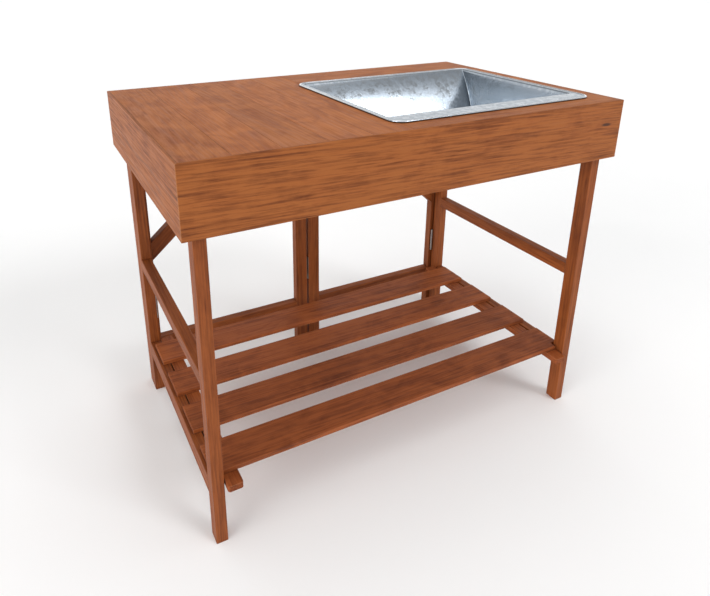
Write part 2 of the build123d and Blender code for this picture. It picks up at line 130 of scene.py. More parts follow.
class TraySettings(bpy.types.PropertyGroup):
    """Sizes and colours of the galvanised tray."""

    rim: metres("Rim", "Width of the flat rim at the ends and the rear", 0.016)
    front_rim: metres("Front rim", "Width of the flat rim at the front", 0.050)
    bead: metres("Bead", "Radius of the rolled edge", 0.0022)
    sheet: metres("Sheet", "Thickness of the sheet", 0.001)
    end_taper: metres("End taper", "How far each end wall leans in", 0.012)
    front_taper: metres("Front taper", "How far the front wall leans in", 0.041)
    rear_taper: metres("Rear taper", "How far the rear wall leans in", 0.075)
    rim_corner: metres("Rim corner", "Corner radius of the rim", 0.030)
    mouth_corner: metres("Mouth corner", "Corner radius of the mouth", 0.003)
    floor_corner: metres("Floor corner", "Corner radius of the floor", 0.0025)
    bend: metres("Bend", "Reach of the bends at the mouth and round the floor", 0.005)
    flare: metres("Flare", "How far the front and rear walls bow in below the mouth", 0.014)
    waviness: metres("Waviness", "Height of the gentle waves in the thin sheet", 0.0005)
    spangle: metres("Spangle", "Size of the zinc crystals", 0.011)
    # Reach of the painted shade that darkens the tray's inner corners.
    corner_shade_reach: metres("Corner shade reach", "How far the dull zinc spreads from a bend", 0.030)
    zinc_pale: colour("Zinc pale", "Pale zinc crystals", (0.53, 0.575, 0.62))
    zinc_dark: colour("Zinc dark", "Dark zinc crystals", (0.39, 0.44, 0.495))


class StageSettings(bpy.types.PropertyGroup):
    """Floor, lights and camera."""

    floor_radius: metres("Floor radius", "Radius of the round floor", 30.0)
    floor_colour: colour("Floor", "Pale floor", (0.97, 0.97, 0.97))
    backdrop: share("Backdrop", "Brightness of the white backdrop behind the floor", 1.0)
    wall_light: share("Wall light", "Light from the walls, low down", 1.0)
    ceiling_light: share("Ceiling light", "Light from the ceiling", 0.40)
    overhead_light: share("Overhead light", "Extra light from straight overhead", 0.85)
    aim: FloatVectorProperty(
        name="Aim",
        description="Point that the camera looks at",
        subtype="TRANSLATION",
        unit="LENGTH",
        default=(-0.037, 0.085, 0.562),
    )
    azimuth: FloatProperty(
        name="Azimuth",
        description="Direction of view, 0 along +Y and 90 along -X",
        subtype="ANGLE",
        default=math.radians(-27.4),
    )
    elevation: FloatProperty(
        name="Elevation",
        description="Height of the camera above the level",
        subtype="ANGLE",
        default=math.radians(20.0),
    )
    distance: metres("Distance", "Camera to aim", 1.516)
    lens: FloatProperty(
        name="Lens",
        description="Focal length on a 36 mm sensor",
        subtype="DISTANCE_CAMERA",
        default=30.9,
    )
    shift: FloatVectorProperty(
        name="Shift", description="Lens shift in picture widths", size=2, default=(0.042, -0.159)
    )


class BenchSettings(bpy.types.PropertyGroup):
    """All settings of the bench."""

    wood: PointerProperty(type=OiledWoodSettings)
    tray: PointerProperty(type=TraySettings)
    stage: PointerProperty(type=StageSettings)


# Masks that the grain gives, then the share of each in the tone of one kind of piece.
GRAIN_MASKS = ("Rings", "Streak", "Fibre", "Figure", "Fleck")
APRON_GRAIN = (0.22, 0.24, 0.85, 0.34, 0.42)
WORKTOP_GRAIN = (0.22, 0.18, 0.34, 0.58, 0.14)
STICK_GRAIN = (0.26, 0.38, 0.60, 0.26, 0.30)
SLAT_GRAIN = (0.26, 0.36, 0.52, 0.46, 0.26)
# The value of each mask at which a board keeps the middle tone, and that tone, from pale to dark.
MASK_MIDDLES = (0.3, 0.45, 0.5, 0.5, 0.15)
MIDDLE_TONE = 0.34

# Range over which the rings bend slowly and wander quickly off a circle, in metres.
RING_BEND = 0.034
RING_WANDER = 0.0045
# A knot is measured with X at a quarter and Z left out, so it is four times as long as wide.
KNOT_MEASURE = (0.25, 1.0, 0.0)
# Shares of the knot's size between which its dark heart fades out.
KNOT_HEART = (0.22, 0.52)
# The one knot that shows, on the front apron: its place and its size, in metres.
APRON_KNOT = {"knot": (0.45, -0.311, 0.749), "knot_size": 0.009}
# A knot this small is never seen.
NO_KNOT = 0.0001

# The share by which each effect changes a board's colour, and the colour that it brings.
FIGURE_WARMTH = (0.22, (1.0, 0.80, 0.66, 1.0))
END_GRAIN_OIL = (0.45, (0.50, 0.44, 0.42, 1.0))
# Paler edges: partly wear, partly a painted highlight on the arrises.
EDGE_WEAR_AND_HIGHLIGHT = (0.30, (0.62, 0.33, 0.17, 1.0))
# Painted shade: joints and inner corners darkened where occlusion falls.
JOINT_PAINTED_SHADE = (0.80, (0.30, 0.22, 0.18, 1.0))
KNOT_SHARE = 0.88

# Rows along the tray's section: floor, floor bend, wall, mouth bend, each side of the rim, roll.
FLOOR_ROWS, FOOT_ROWS, WALL_ROWS, LIP_ROWS, RIM_ROWS, ROLL_ROWS = 22, 9, 24, 7, 3, 30
# How far below its own middle the tray's rolled edge rests on the boards, in metres.
BEAD_SEAT = 0.002
# How far noise moves the zinc crystals' outlines at most, in metres.
CRYSTAL_RUFFLE = 0.006
# Colours of the painted shade in the tray's inner corners and of the painted highlight on its rolled
# edge.
PAINTED_SHADE_ZINC = (0.42, 0.46, 0.50, 1.0)
PAINTED_HIGHLIGHT_ZINC = (0.88, 0.90, 0.92, 1.0)

# Plating of the hinges and of the screws: paler and darker zinc.
HINGE_ZINC = ((0.66, 0.66, 0.64), (0.34, 0.34, 0.33))
SCREW_ZINC = ((0.68, 0.60, 0.42), (0.36, 0.31, 0.20))

# Distant lights: where they stand, how wide they are, strength and tint.
KEY_LIGHT = ((-0.93, -0.27, 0.28), math.radians(44.0), 1.50, (1.0, 0.985, 0.96))
TRAY_LIGHT = ((0.417, -0.693, 0.588), math.radians(22.0), 0.85, (0.97, 0.985, 1.0))
# Heights of the unit direction between which the ceiling starts, and the bright patch overhead.
CEILING_START = (0.30, 0.62)
OVERHEAD_START = (0.80, 0.90)


# ---- node recipes ---------------------------------------------------------------------------
class Recipe:
    """Adds nodes to one tree and wires them. A value is a number, a vector, a colour or a socket."""

    def __init__(self, tree):
        self.tree = tree

    def feed(self, socket, value):
        """Put a value or a link into a socket."""
        if isinstance(value, bpy.types.NodeSocket):
            self.tree.links.new(value, socket)
        else:
            socket.default_value = value

    def node(self, kind, inputs=None, **choices):
        """A node with its choices set and its inputs fed."""
        made = self.tree.nodes.new(kind)
        for name, value in choices.items():
            setattr(made, name, value)
        for place, value in (inputs or {}).items():
            self.feed(made.inputs[place], value)
        return made

    def math(self, operation, *values, clamp=False):
        """The result of a Math node."""
        inputs = dict(enumerate(values))
        return self.node("ShaderNodeMath", inputs, operation=operation, use_clamp=clamp).outputs[0]

    def vector(self, operation, *values):
        """The vector result of a Vector Math node."""
        made = self.node("ShaderNodeVectorMath", dict(enumerate(values)), operation=operation)
        return made.outputs["Vector"]

    def measure(self, operation, *values):
        """The number result of a Vector Math node, a length or a dot product."""
        made = self.node("ShaderNodeVectorMath", dict(enumerate(values)), operation=operation)
        return made.outputs["Value"]

    def noise(self, point, seed, scale=1.0, detail=2.0, roughness=0.5, distortion=0.0):
        """Soft noise from 0 to 1."""
        inputs = {
            "Vector": point,
            "W": seed,
            "Scale": scale,
            "Detail": detail,
            "Roughness": roughness,
            "Distortion": distortion,
        }
        return self.node("ShaderNodeTexNoise", inputs, noise_dimensions="4D").outputs["Fac"]

    def remap(self, value, low, high, to_low=0.0, to_high=1.0, curve="SMOOTHSTEP"):
        """value carried from low...high to to_low...to_high, and held there outside."""
        inputs = {0: value, 1: low, 2: high, 3: to_low, 4: to_high}
        return self.node("ShaderNodeMapRange", inputs, interpolation_type=curve).outputs[0]

    def mix(self, factor, first, second, blend="MIX"):
        """Two colours mixed."""
        inputs = {0: factor, 6: first, 7: second}
        return self.node("ShaderNodeMix", inputs, data_type="RGBA", blend_type=blend).outputs[2]


def new_group(name, inputs, outputs):
    """An empty shader node group, its recipe, its input sockets by name and its output node."""
    tree = bpy.data.node_groups.new(name, "ShaderNodeTree")
    for label, kind, default in inputs:
        socket = tree.interface.new_socket(label, in_out="INPUT", socket_type=kind)
        if default is not None:
            socket.default_value = default
    for label, kind in outputs:
        tree.interface.new_socket(label, in_out="OUTPUT", socket_type=kind)
    recipe = Recipe(tree)
    entry = recipe.node("NodeGroupInput")
    leave = recipe.node("NodeGroupOutput")
    return tree, recipe, entry.outputs, leave.inputs


def grain_group():
    """Rings, streaks, fibres, figure, flecks and a knot of one board, whose pith runs along X.

    Point is in metres from the pith. The ring phase is the distance from the X axis, bent by two
    noises and by the knot, over the ring spacing. Within a ring the wood darkens slowly to the
    late wood and then ends sharply. The other masks are noises drawn out along X by different
    amounts, with their low values cut off. The knot is a plug along Z, drawn out along X. The
    rings swell round it as a bell curve of the distance from its heart.
    """
    number, vector = "NodeSocketFloat", "NodeSocketVector"
    tree, recipe, entry, leave = new_group(
        "board_grain",
        [
            ("Point", vector, None),
            ("Seed", number, 0.0),
            ("Ring Spacing", number, 0.006),
            ("Knot Place", vector, None),
            ("Knot Size", number, NO_KNOT),
        ],
        [(label, number) for label in (*GRAIN_MASKS, "Knot", "Height")],
    )
    point, seed = entry["Point"], entry["Seed"]

    def drawn_out(along, across):
        return recipe.vector("MULTIPLY", point, (along, across, across))

    def seeded(step):
        return recipe.math("ADD", seed, step)

    bend = recipe.noise(drawn_out(1.6, 8.0), seed, detail=2.0)
    wander = recipe.noise(drawn_out(9.0, 50.0), seeded(3.1), detail=2.0)
    from_knot = recipe.vector("SUBTRACT", point, entry["Knot Place"])
    knot_reach = recipe.measure("LENGTH", recipe.vector("MULTIPLY", from_knot, KNOT_MEASURE))
    knot_share = recipe.math("DIVIDE", knot_reach, entry["Knot Size"])
    swell_power = recipe.math("MULTIPLY", recipe.math("MULTIPLY", knot_share, knot_share), -0.6)
    swell = recipe.math("MULTIPLY", recipe.math("EXPONENT", swell_power), entry["Knot Size"])
    heart = recipe.remap(knot_share, *KNOT_HEART, 1.0, 0.0)

    radius = recipe.measure("LENGTH", recipe.vector("MULTIPLY", point, (0.0, 1.0, 1.0)))
    bent = recipe.math("MULTIPLY_ADD", recipe.math("SUBTRACT", bend, 0.5), RING_BEND, radius)
    wandered = recipe.math("MULTIPLY_ADD", recipe.math("SUBTRACT", wander, 0.5), RING_WANDER, bent)
    swollen = recipe.math("ADD", wandered, swell)
    phase = recipe.math("DIVIDE", swollen, entry["Ring Spacing"])
    within = recipe.math("FRACT", phase)
    early = recipe.remap(within, 0.10, 0.86)
    ended = recipe.remap(within, 0.90, 1.0, 1.0, 0.0)
    ring_number = {"W": recipe.math("FLOOR", phase)}
    ring_chance = recipe.node("ShaderNodeTexWhiteNoise", ring_number, noise_dimensions="1D")
    strength = recipe.remap(ring_chance.outputs["Value"], 0.0, 1.0, 0.35, 1.0, "LINEAR")
    rings = recipe.math("MULTIPLY", recipe.math("MULTIPLY", early, ended), strength)

    streak = recipe.noise(drawn_out(1.3, 55.0), seeded(7.7), detail=4.0, roughness=0.62)
    fibre = recipe.noise(drawn_out(8.0, 270.0), seeded(12.9), detail=4.0, roughness=0.62)
    fleck = recipe.noise(drawn_out(15.0, 320.0), seeded(31.7), detail=3.0, roughness=0.6)
    hair = recipe.noise(drawn_out(45.0, 1500.0), seeded(17.3), detail=2.0, roughness=0.6)
    curl = drawn_out(9.0, 15.0)
    figure = recipe.noise(curl, seeded(23.1), detail=5.0, roughness=0.6, distortion=1.6)

    recipe.feed(leave["Rings"], rings)
    recipe.feed(leave["Streak"], recipe.remap(streak, 0.36, 0.70))
    recipe.feed(leave["Fibre"], recipe.remap(fibre, 0.30, 0.72))
    recipe.feed(leave["Figure"], recipe.remap(figure, 0.32, 0.70))
    recipe.feed(leave["Fleck"], recipe.remap(fleck, 0.52, 0.72))
    recipe.feed(leave["Knot"], heart)
    raised = recipe.math("MULTIPLY_ADD", rings, 0.35, recipe.math("MULTIPLY", fibre, 0.8))
    recipe.feed(leave["Height"], recipe.math("MULTIPLY_ADD", hair, 0.5, raised))
    return tree


def finish_group():
    """Oiled colour and roughness of a board from its grain.

    The tone is the middle tone plus, for each of the grain's masks, its share times what it
    stands above its middle value. It runs from the pale colour to the dark one. Figure warms the
    wood, end grain drinks more oil and goes darker, edges go paler from wear and a painted
    highlight, joints and inner corners go darker with painted shade from occlusion, and a knot goes
    to its own colour. Late wood and knots are closed and shine a little more.
    """
    number, paint = "NodeSocketFloat", "NodeSocketColor"
    tree, recipe, entry, leave = new_group(
        "oil_finish",
        [(mask, number, 0.0) for mask in (*GRAIN_MASKS, "Knot", "End Grain", "Pale Edge", "Painted Shade")]
        + [(f"{mask} Share", number, 0.3) for mask in GRAIN_MASKS]
        + [("Pale", paint, None), ("Dark", paint, None), ("Knot Colour", paint, None)],
        [("Color", paint), ("Roughness", number)],
    )
    tone = MIDDLE_TONE
    for mask, middle in zip(GRAIN_MASKS, MASK_MIDDLES):
        centred = recipe.math("SUBTRACT", entry[mask], middle)
        tone = recipe.math("MULTIPLY_ADD", centred, entry[f"{mask} Share"], tone)
    clipped = recipe.math("ADD", tone, 0.0, clamp=True)
    board = recipe.mix(clipped, entry["Pale"], entry["Dark"])
    for mask, (part, brought), blend in (
        ("Figure", FIGURE_WARMTH, "MULTIPLY"),
        ("End Grain", END_GRAIN_OIL, "MULTIPLY"),
        ("Pale Edge", EDGE_WEAR_AND_HIGHLIGHT, "MIX"),
        ("Painted Shade", JOINT_PAINTED_SHADE, "MULTIPLY"),
        ("Knot", (KNOT_SHARE, entry["Knot Colour"]), "MIX"),
    ):
        board = recipe.mix(recipe.math("MULTIPLY", entry[mask], part), board, brought, blend)
    recipe.feed(leave["Color"], board)
    shine = recipe.math("MULTIPLY_ADD", entry["Rings"], -0.08, 0.52)
    shine = recipe.math("MULTIPLY_ADD", entry["Fibre"], 0.14, shine)
    shine = recipe.math("MULTIPLY_ADD", entry["End Grain"], 0.16, shine)
    recipe.feed(leave["Roughness"], recipe.math("MULTIPLY_ADD", entry["Knot"], -0.10, shine))
    return tree


def edge_group():
    """Mask of the rounded edges: one less the dot product of the true and the softened normal."""
    tree, recipe, entry, leave = new_group(
        "pale_edge_mask", [("Radius", "NodeSocketFloat", 0.002)], [("Mask", "NodeSocketFloat")]
    )
    soft = recipe.node("ShaderNodeBevel", {"Radius": entry["Radius"]}, samples=4)
    true = recipe.node("ShaderNodeNewGeometry")
    alike = recipe.measure("DOT_PRODUCT", soft.outputs["Normal"], true.outputs["Normal"])
    recipe.feed(leave["Mask"], recipe.remap(recipe.math("SUBTRACT", 1.0, alike), 0.02, 0.22))
    return tree


def painted_shade_group():
    """Mask of painted shade in joints and inner corners: how much of the open space within reach is
    shut out.
    """
    tree, recipe, entry, leave = new_group(
        "joint_painted_shade", [("Reach", "NodeSocketFloat", 0.003)], [("Mask", "NodeSocketFloat")]
    )
    open_space = recipe.node("ShaderNodeAmbientOcclusion", {"Distance": entry["Reach"]}, samples=6)
    recipe.feed(leave["Mask"], recipe.remap(open_space.outputs["AO"], 0.40, 0.92, 1.0, 0.0))
    return tree


def spangle_group():
    """Zinc crystals: cells of two sizes, each with its own brightness, over soft tarnish.

    The crystal value is each cell's own random number, shaded across the cell by the distance
    from its centre, so that neighbours meet at a visible line. Shade is the mask of the inner
    corners, where the zinc is darkened as painted shade, and Bead Highlight the mask of the rolled
    edge, which is painted pale as a painted highlight.
    """
    number, paint = "NodeSocketFloat", "NodeSocketColor"
    tree, recipe, entry, leave = new_group(
        "zinc_spangle",
        [
            ("Point", "NodeSocketVector", None),
            ("Crystal", number, 0.01),
            ("Shade", number, 0.0),
            ("Bead Highlight", number, 0.0),
            ("Pale", paint, None),
            ("Dark", paint, None),
        ],
        [("Color", paint), ("Roughness", number), ("Height", number)],
    )
    ripples = {"Vector": entry["Point"], "Scale": 60.0, "Detail": 2.0}
    ruffle = recipe.node("ShaderNodeTexNoise", ripples)
    nudge = recipe.vector("MULTIPLY", ruffle.outputs["Color"], (CRYSTAL_RUFFLE,) * 3)
    place = recipe.vector("ADD", entry["Point"], nudge)
    values = []
    for step, size in enumerate((1.0, 0.42)):
        density = recipe.math("DIVIDE", 1.0 / size, entry["Crystal"])
        cells = {"Vector": place, "Scale": density, "Randomness": 1.0}
        cell = recipe.node("ShaderNodeTexVoronoi", cells)
        own = recipe.node("ShaderNodeSeparateColor", {"Color": cell.outputs["Color"]}).outputs[step]
        values.append(recipe.math("MULTIPLY_ADD", cell.outputs["Distance"], 0.35, own))
    crystal = recipe.math("MULTIPLY_ADD", values[1], 0.45, recipe.math("MULTIPLY", values[0], 0.6))
    tarnish = recipe.noise(entry["Point"], 2.0, scale=7.0, detail=4.0, roughness=0.6)
    tone = recipe.math("MULTIPLY_ADD", tarnish, 0.5, crystal)
    zinc = recipe.mix(recipe.remap(tone, 0.35, 1.25), entry["Pale"], entry["Dark"])
    # Painted shade: the inner corners darkened by the occlusion mask.
    shaded_zinc = recipe.mix(entry["Shade"], zinc, PAINTED_SHADE_ZINC, "MULTIPLY")
    # Painted highlight: the rolled edge painted pale.
    recipe.feed(leave["Color"], recipe.mix(entry["Bead Highlight"], shaded_zinc, PAINTED_HIGHLIGHT_ZINC))
    recipe.feed(leave["Roughness"], recipe.remap(tone, 0.3, 1.3, 0.11, 0.26))
    recipe.feed(leave["Height"], crystal)
    return tree


def plating_group():
    """Zinc plating: soft clouds, fine scratches drawn out along Z, and paler rubbed edges."""
    number, paint = "NodeSocketFloat", "NodeSocketColor"
    tree, recipe, entry, leave = new_group(
        "zinc_plating",
        [
            ("Point", "NodeSocketVector", None),
            ("Pale Edge", number, 0.0),
            ("Pale", paint, None),
            ("Dark", paint, None),
        ],
        [("Color", paint), ("Roughness", number), ("Height", number)],
    )
    cloud = recipe.noise(entry["Point"], 1.0, scale=120.0, detail=4.0, roughness=0.6)
    drawn = recipe.vector("MULTIPLY", entry["Point"], (2600.0, 2600.0, 160.0))
    scratch = recipe.noise(drawn, 5.0, detail=2.0, roughness=0.6)
    tone = recipe.math("MULTIPLY_ADD", scratch, 0.4, cloud)
    rubbed = recipe.math("MULTIPLY_ADD", entry["Pale Edge"], -0.5, tone)
    darkness = recipe.remap(rubbed, 0.3, 1.0)
    recipe.feed(leave["Color"], recipe.mix(darkness, entry["Pale"], entry["Dark"]))
    recipe.feed(leave["Roughness"], recipe.remap(tone, 0.3, 1.0, 0.26, 0.46))
    recipe.feed(leave["Height"], scratch)
    return tree


GROUP_MAKERS = {
    "board_grain": grain_group,
    "oil_finish": finish_group,
    "pale_edge_mask": edge_group,
    "joint_painted_shade": painted_shade_group,
    "zinc_spangle": spangle_group,
    "zinc_plating": plating_group,
}


def group_node(recipe, name, inputs):
    """A node of a shared group, which is built the first time that it is asked for."""
    tree = bpy.data.node_groups.get(name) or GROUP_MAKERS[name]()
    made = recipe.node("ShaderNodeGroup", node_tree=tree)
    for label, value in inputs.items():
        recipe.feed(made.inputs[label], value)
    return made.outputs


def new_material(name):
    """An empty material with a Principled BSDF: its recipe and the shader's input sockets."""
    material = bpy.data.materials.new(name)
    material.use_nodes = True
    recipe = Recipe(material.node_tree)
    shader = material.node_tree.nodes["Principled BSDF"]
    return material, recipe, shader.inputs


def opaque(rgb):
    """A colour property as the four numbers that a socket takes."""
    return (*rgb, 1.0)


# ---- oiled wood -------------------------------------------------------------------------------
def stick_axes(node):
    """Unit vectors along a piece's grain, across it and through its thickness.

    The grain follows the longest side of the piece's box, and a brace's follows the box's
    diagonal, rising towards the middle of the bench.
    """
    low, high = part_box(node)
    size = high - low
    axes = [Vector(row) for row in Matrix.Identity(3)]
    order = sorted(range(3), key=lambda k: size[k])
    along, through = axes[order[2]], axes[order[0]]
    if node.endswith("brace"):
        inward = -1.0 if low.x > 0 else 1.0
        along = Vector((inward * size.x, 0.0, size.z)).normalized()
        through = axes[1]
    return along, through.cross(along), through


def board_mapping(node, rng, pith_distance, tilt):
    """Rotation and shift that put a piece's pith on the X axis, and the basis itself.

    The pith lies pith_distance from the middle of the piece through its thickness, a little to
    one side, and leans by up to tilt, so that the rings run out of the face in long arches.
    """
    low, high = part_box(node)
    middle = (low + high) / 2
    lean = Euler((0.0, rng.uniform(-tilt, tilt), rng.uniform(-tilt, tilt))).to_matrix()
    basis = lean @ Matrix(stick_axes(node))
    aside = rng.uniform(-0.6, 0.6) * pith_distance
    under = pith_distance * (1.0 if rng.random() < 0.5 else -1.0)
    shift = Vector((0.0, aside, under)) - basis @ middle
    return basis, shift


def wood_material(
    node, pale, dark, seed, shares, pith_distance=0.07, tilt=0.03, knot=None, knot_size=NO_KNOT
):
    """Oiled wood for one piece, with its own stretch of the trunk.

    shares are the shares of the grain's masks in the tone. knot is a place on the piece, in the
    bench's frame.
    """
    wood = bpy.context.scene.potting_bench.wood
    rng = np.random.default_rng(seed)
    basis, shift = board_mapping(node, rng, pith_distance, tilt)
    material, recipe, shader = new_material(f"{node}_oiled_wood")
    place = recipe.node("ShaderNodeTexCoord").outputs
    mapping = {"Vector": place["Object"], "Location": shift, "Rotation": basis.to_euler()}
    point = recipe.node("ShaderNodeMapping", mapping).outputs["Vector"]
    knot_place = basis @ Vector(knot) + shift if knot else Vector((0.0, 0.0, 0.0))
    grain = group_node(
        recipe,
        "board_grain",
        {
            "Point": point,
            "Seed": 10.0 * seed,
            "Ring Spacing": wood.ring_spacing * rng.uniform(0.75, 1.3),
            "Knot Place": knot_place,
            "Knot Size": knot_size,
        },
    )
    facing = recipe.measure("DOT_PRODUCT", place["Normal"], stick_axes(node)[0])
    end_grain = recipe.remap(recipe.math("ABSOLUTE", facing), 0.75, 0.95)
    # Paler edges: partly wear, partly a painted highlight.
    edge_mask = group_node(recipe, "pale_edge_mask", {"Radius": wood.edge_radius})
    # Painted shade: occlusion darkens joints and inner corners.
    painted_shade = group_node(recipe, "joint_painted_shade", {"Reach": wood.painted_shade_reach})
    tone = rng.uniform(0.93, 1.07)
    finish = group_node(
        recipe,
        "oil_finish",
        {
            **{mask: grain[mask] for mask in (*GRAIN_MASKS, "Knot")},
            **{f"{mask} Share": part for mask, part in zip(GRAIN_MASKS, shares)},
            "End Grain": end_grain,
            "Pale Edge": edge_mask["Mask"],
            "Painted Shade": painted_shade["Mask"],
            "Pale": opaque(Vector(pale) * tone),
            "Dark": opaque(Vector(dark) * tone),
            "Knot Colour": opaque(wood.knot),
        },
    )
    recipe.feed(shader["Base Color"], finish["Color"])
    recipe.feed(shader["Roughness"], finish["Roughness"])
    shader["Specular IOR Level"].default_value = 0.22
    bump = {"Height": grain["Height"], "Strength": 0.55, "Distance": 0.0006}
    recipe.feed(shader["Normal"], recipe.node("ShaderNodeBump", bump).outputs["Normal"])
    return material


def dress(node, material):
    """Give a CAD piece its finish, all over."""
    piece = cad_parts[node]
    piece.data.materials.clear()
    piece.data.materials.append(material)


# ---- meshes -------------------------------------------------------------------------------------
def mesh_object(name, vertices, faces, material, smooth_angle=math.radians(35.0)):
    """A new object at the origin with a smooth mesh that keeps edges sharper than smooth_angle."""
    mesh = bpy.data.meshes.new(name)
    mesh.from_pydata(vertices.tolist(), [], faces)
    mesh.polygons.foreach_set("use_smooth", np.ones(len(mesh.polygons), bool))
    mesh.set_sharp_from_angle(angle=smooth_angle)
    mesh.materials.append(material)
    mesh.update()
    piece = bpy.data.objects.new(name, mesh)
    bpy.context.scene.collection.objects.link(piece)
    return piece


def grid_faces(rows, columns, first=0):
    """Four-cornered faces between rows of a grid that closes on itself along each row.

    Point j of row i is number first + i * columns + j, and column j is followed by j + 1, the
    last one by the first.
    """
    i, j = np.meshgrid(np.arange(rows - 1), np.arange(columns), indexing="ij")
    here, ahead = first + i * columns + j, first + i * columns + (j + 1) % columns
    return np.stack((here, ahead, ahead + columns, here + columns), axis=-1).reshape(-1, 4).tolist()


def fan_faces(pole, first, columns, in_order):
    """Triangles from a pole to a closed row of points, taken in the row's order or against it."""
    j = np.arange(columns)
    here, ahead = first + j, first + (j + 1) % columns
    pair = (here, ahead) if in_order else (ahead, here)
    return np.stack((np.full(columns, pole), *pair), axis=-1).tolist()


def round_cornered_rings(half_x, half_y, corner, per_corner, per_side):
    """Points round rectangles with round corners, one rectangle a row, as two arrays.

    Quarter k is an arc of radius corner about the rectangle's corner moved in by that radius,
    over angles from k to k + 1 quarter turns; the side after it is a straight line to the next
    arc's first point.
    """
    turns = np.linspace(0.0, math.pi / 2, per_corner)
    along = np.linspace(0.0, 1.0, per_side + 2)[1:-1]
    arcs = []
    for k, (sign_x, sign_y) in enumerate(((1, 1), (-1, 1), (-1, -1), (1, -1))):
        angles = turns + k * math.pi / 2
        x = sign_x * (half_x - corner)[:, None] + corner[:, None] * np.cos(angles)
        y = sign_y * (half_y - corner)[:, None] + corner[:, None] * np.sin(angles)
        arcs.append((x, y))
    xs, ys = [], []
    for (x, y), (next_x, next_y) in zip(arcs, arcs[1:] + arcs[:1]):
        xs += [x, x[:, -1:] * (1 - along) + next_x[:, :1] * along]
        ys += [y, y[:, -1:] * (1 - along) + next_y[:, :1] * along]
    return np.concatenate(xs, axis=1), np.concatenate(ys, axis=1)


# ---- tray ---------------------------------------------------------------------------------------
def bent_rows(start, corner, end, count):
    """Rows along a bend: a quadratic curve from start to end that leaves both towards corner."""
    t = np.linspace(0.0, 1.0, count)[:, None]
    return (1 - t) ** 2 * start + 2 * t * (1 - t) * corner + t**2 * end


def straight_rows(start, end, count):
    """Rows along a straight stretch, without its two ends."""
    t = np.linspace(0.0, 1.0, count + 2)[1:-1, None]
    return (1 - t) * start + t * end


def tray_rows(tray, rim_half_x, rim_half_y, bead_level, depth):
    """Rows of the tray's section from the middle of its floor, up and over the rim, and back below.

    A row is half length, half width, corner radius, place of its middle along Y and level. The
    wider front rim sets the mouth's middle back, and the steeper front wall brings the floor's
    middle forward again. Each wall leans in from the mouth to the floor. At a share s of the way
    up, the front and rear walls stand flare times (s less s cubed) inside the straight line, and
    the end walls a fifth of that. Each bend is a quadratic curve. The rolled edge is an arc of
    nearly a whole turn about the bead's centre.
    """
    mouth_set_back = (tray.front_rim - tray.rim) / 2
    floor_forward = (tray.rear_taper - tray.front_taper) / 2
    mouth = np.array(
        [
            rim_half_x - tray.rim,
            rim_half_y - tray.rim - mouth_set_back,
            tray.mouth_corner,
            mouth_set_back,
        ]
    )
    lean = np.array(
        [
            tray.end_taper,
            tray.rear_taper - floor_forward,
            tray.mouth_corner - tray.floor_corner,
            floor_forward,
        ]
    )
    rim_edge = np.array([rim_half_x, rim_half_y, tray.rim_corner, 0.0])
    bead_line = rim_edge - tray.bead * np.array([1.0, 1.0, 1.0, 0.0])
    rim_top = bead_level + tray.sheet

    def row(outline, level, grow=0.0):
        return np.append(outline + grow * np.array([1.0, 1.0, 1.0, 0.0]), level)

    def side(grow, top, bottom, bottom_bend):
        """One face of the sheet from the middle of the floor to the flat rim."""
        foot = row(mouth - lean, bottom, grow)
        lip = row(mouth, top, grow)
        wall = lip - foot
        middle = foot * np.array([0.0, 0.0, 0.0, 1.0, 1.0])
        flat = foot - np.array([bottom_bend, bottom_bend, 0.6 * bottom_bend, 0.0, 0.0])
        share_up = np.linspace(bottom_bend / depth, 1.0 - tray.bend / depth, WALL_ROWS)[:, None]
        bow = np.array([0.2 * tray.flare, tray.flare, 0.0, 0.0, 0.0])
        up_wall = foot + wall * share_up + bow * (share_up**3 - share_up)
        past_lip = lip + np.array([tray.bend, tray.bend, tray.bend, 0.0, 0.0])
        return np.concatenate(
            (
                straight_rows(middle, flat, FLOOR_ROWS),
                bent_rows(flat, foot, up_wall[0], FOOT_ROWS)[:-1],
                up_wall,
                bent_rows(up_wall[-1], lip, past_lip, LIP_ROWS)[1:],
            )
        )

    inside = side(-tray.sheet, rim_top, rim_top - depth + tray.sheet, 0.75 * tray.bend)
    outside = side(0.0, bead_level, rim_top - depth, tray.bend)
    meeting = math.asin(tray.sheet / tray.bead)
    roll = np.linspace(math.pi - meeting, -math.pi, ROLL_ROWS)
    edge = np.repeat(row(bead_line, bead_level)[None], len(roll), axis=0)
    edge[:, :3] += tray.bead * np.cos(roll)[:, None]
    edge[:, -1] += tray.bead * np.sin(roll)
    rim_above = straight_rows(inside[-1], edge[0], RIM_ROWS)
    rim_below = straight_rows(edge[-1], outside[-1], RIM_ROWS)
    return np.concatenate((inside, rim_above, edge, rim_below, outside[::-1]))


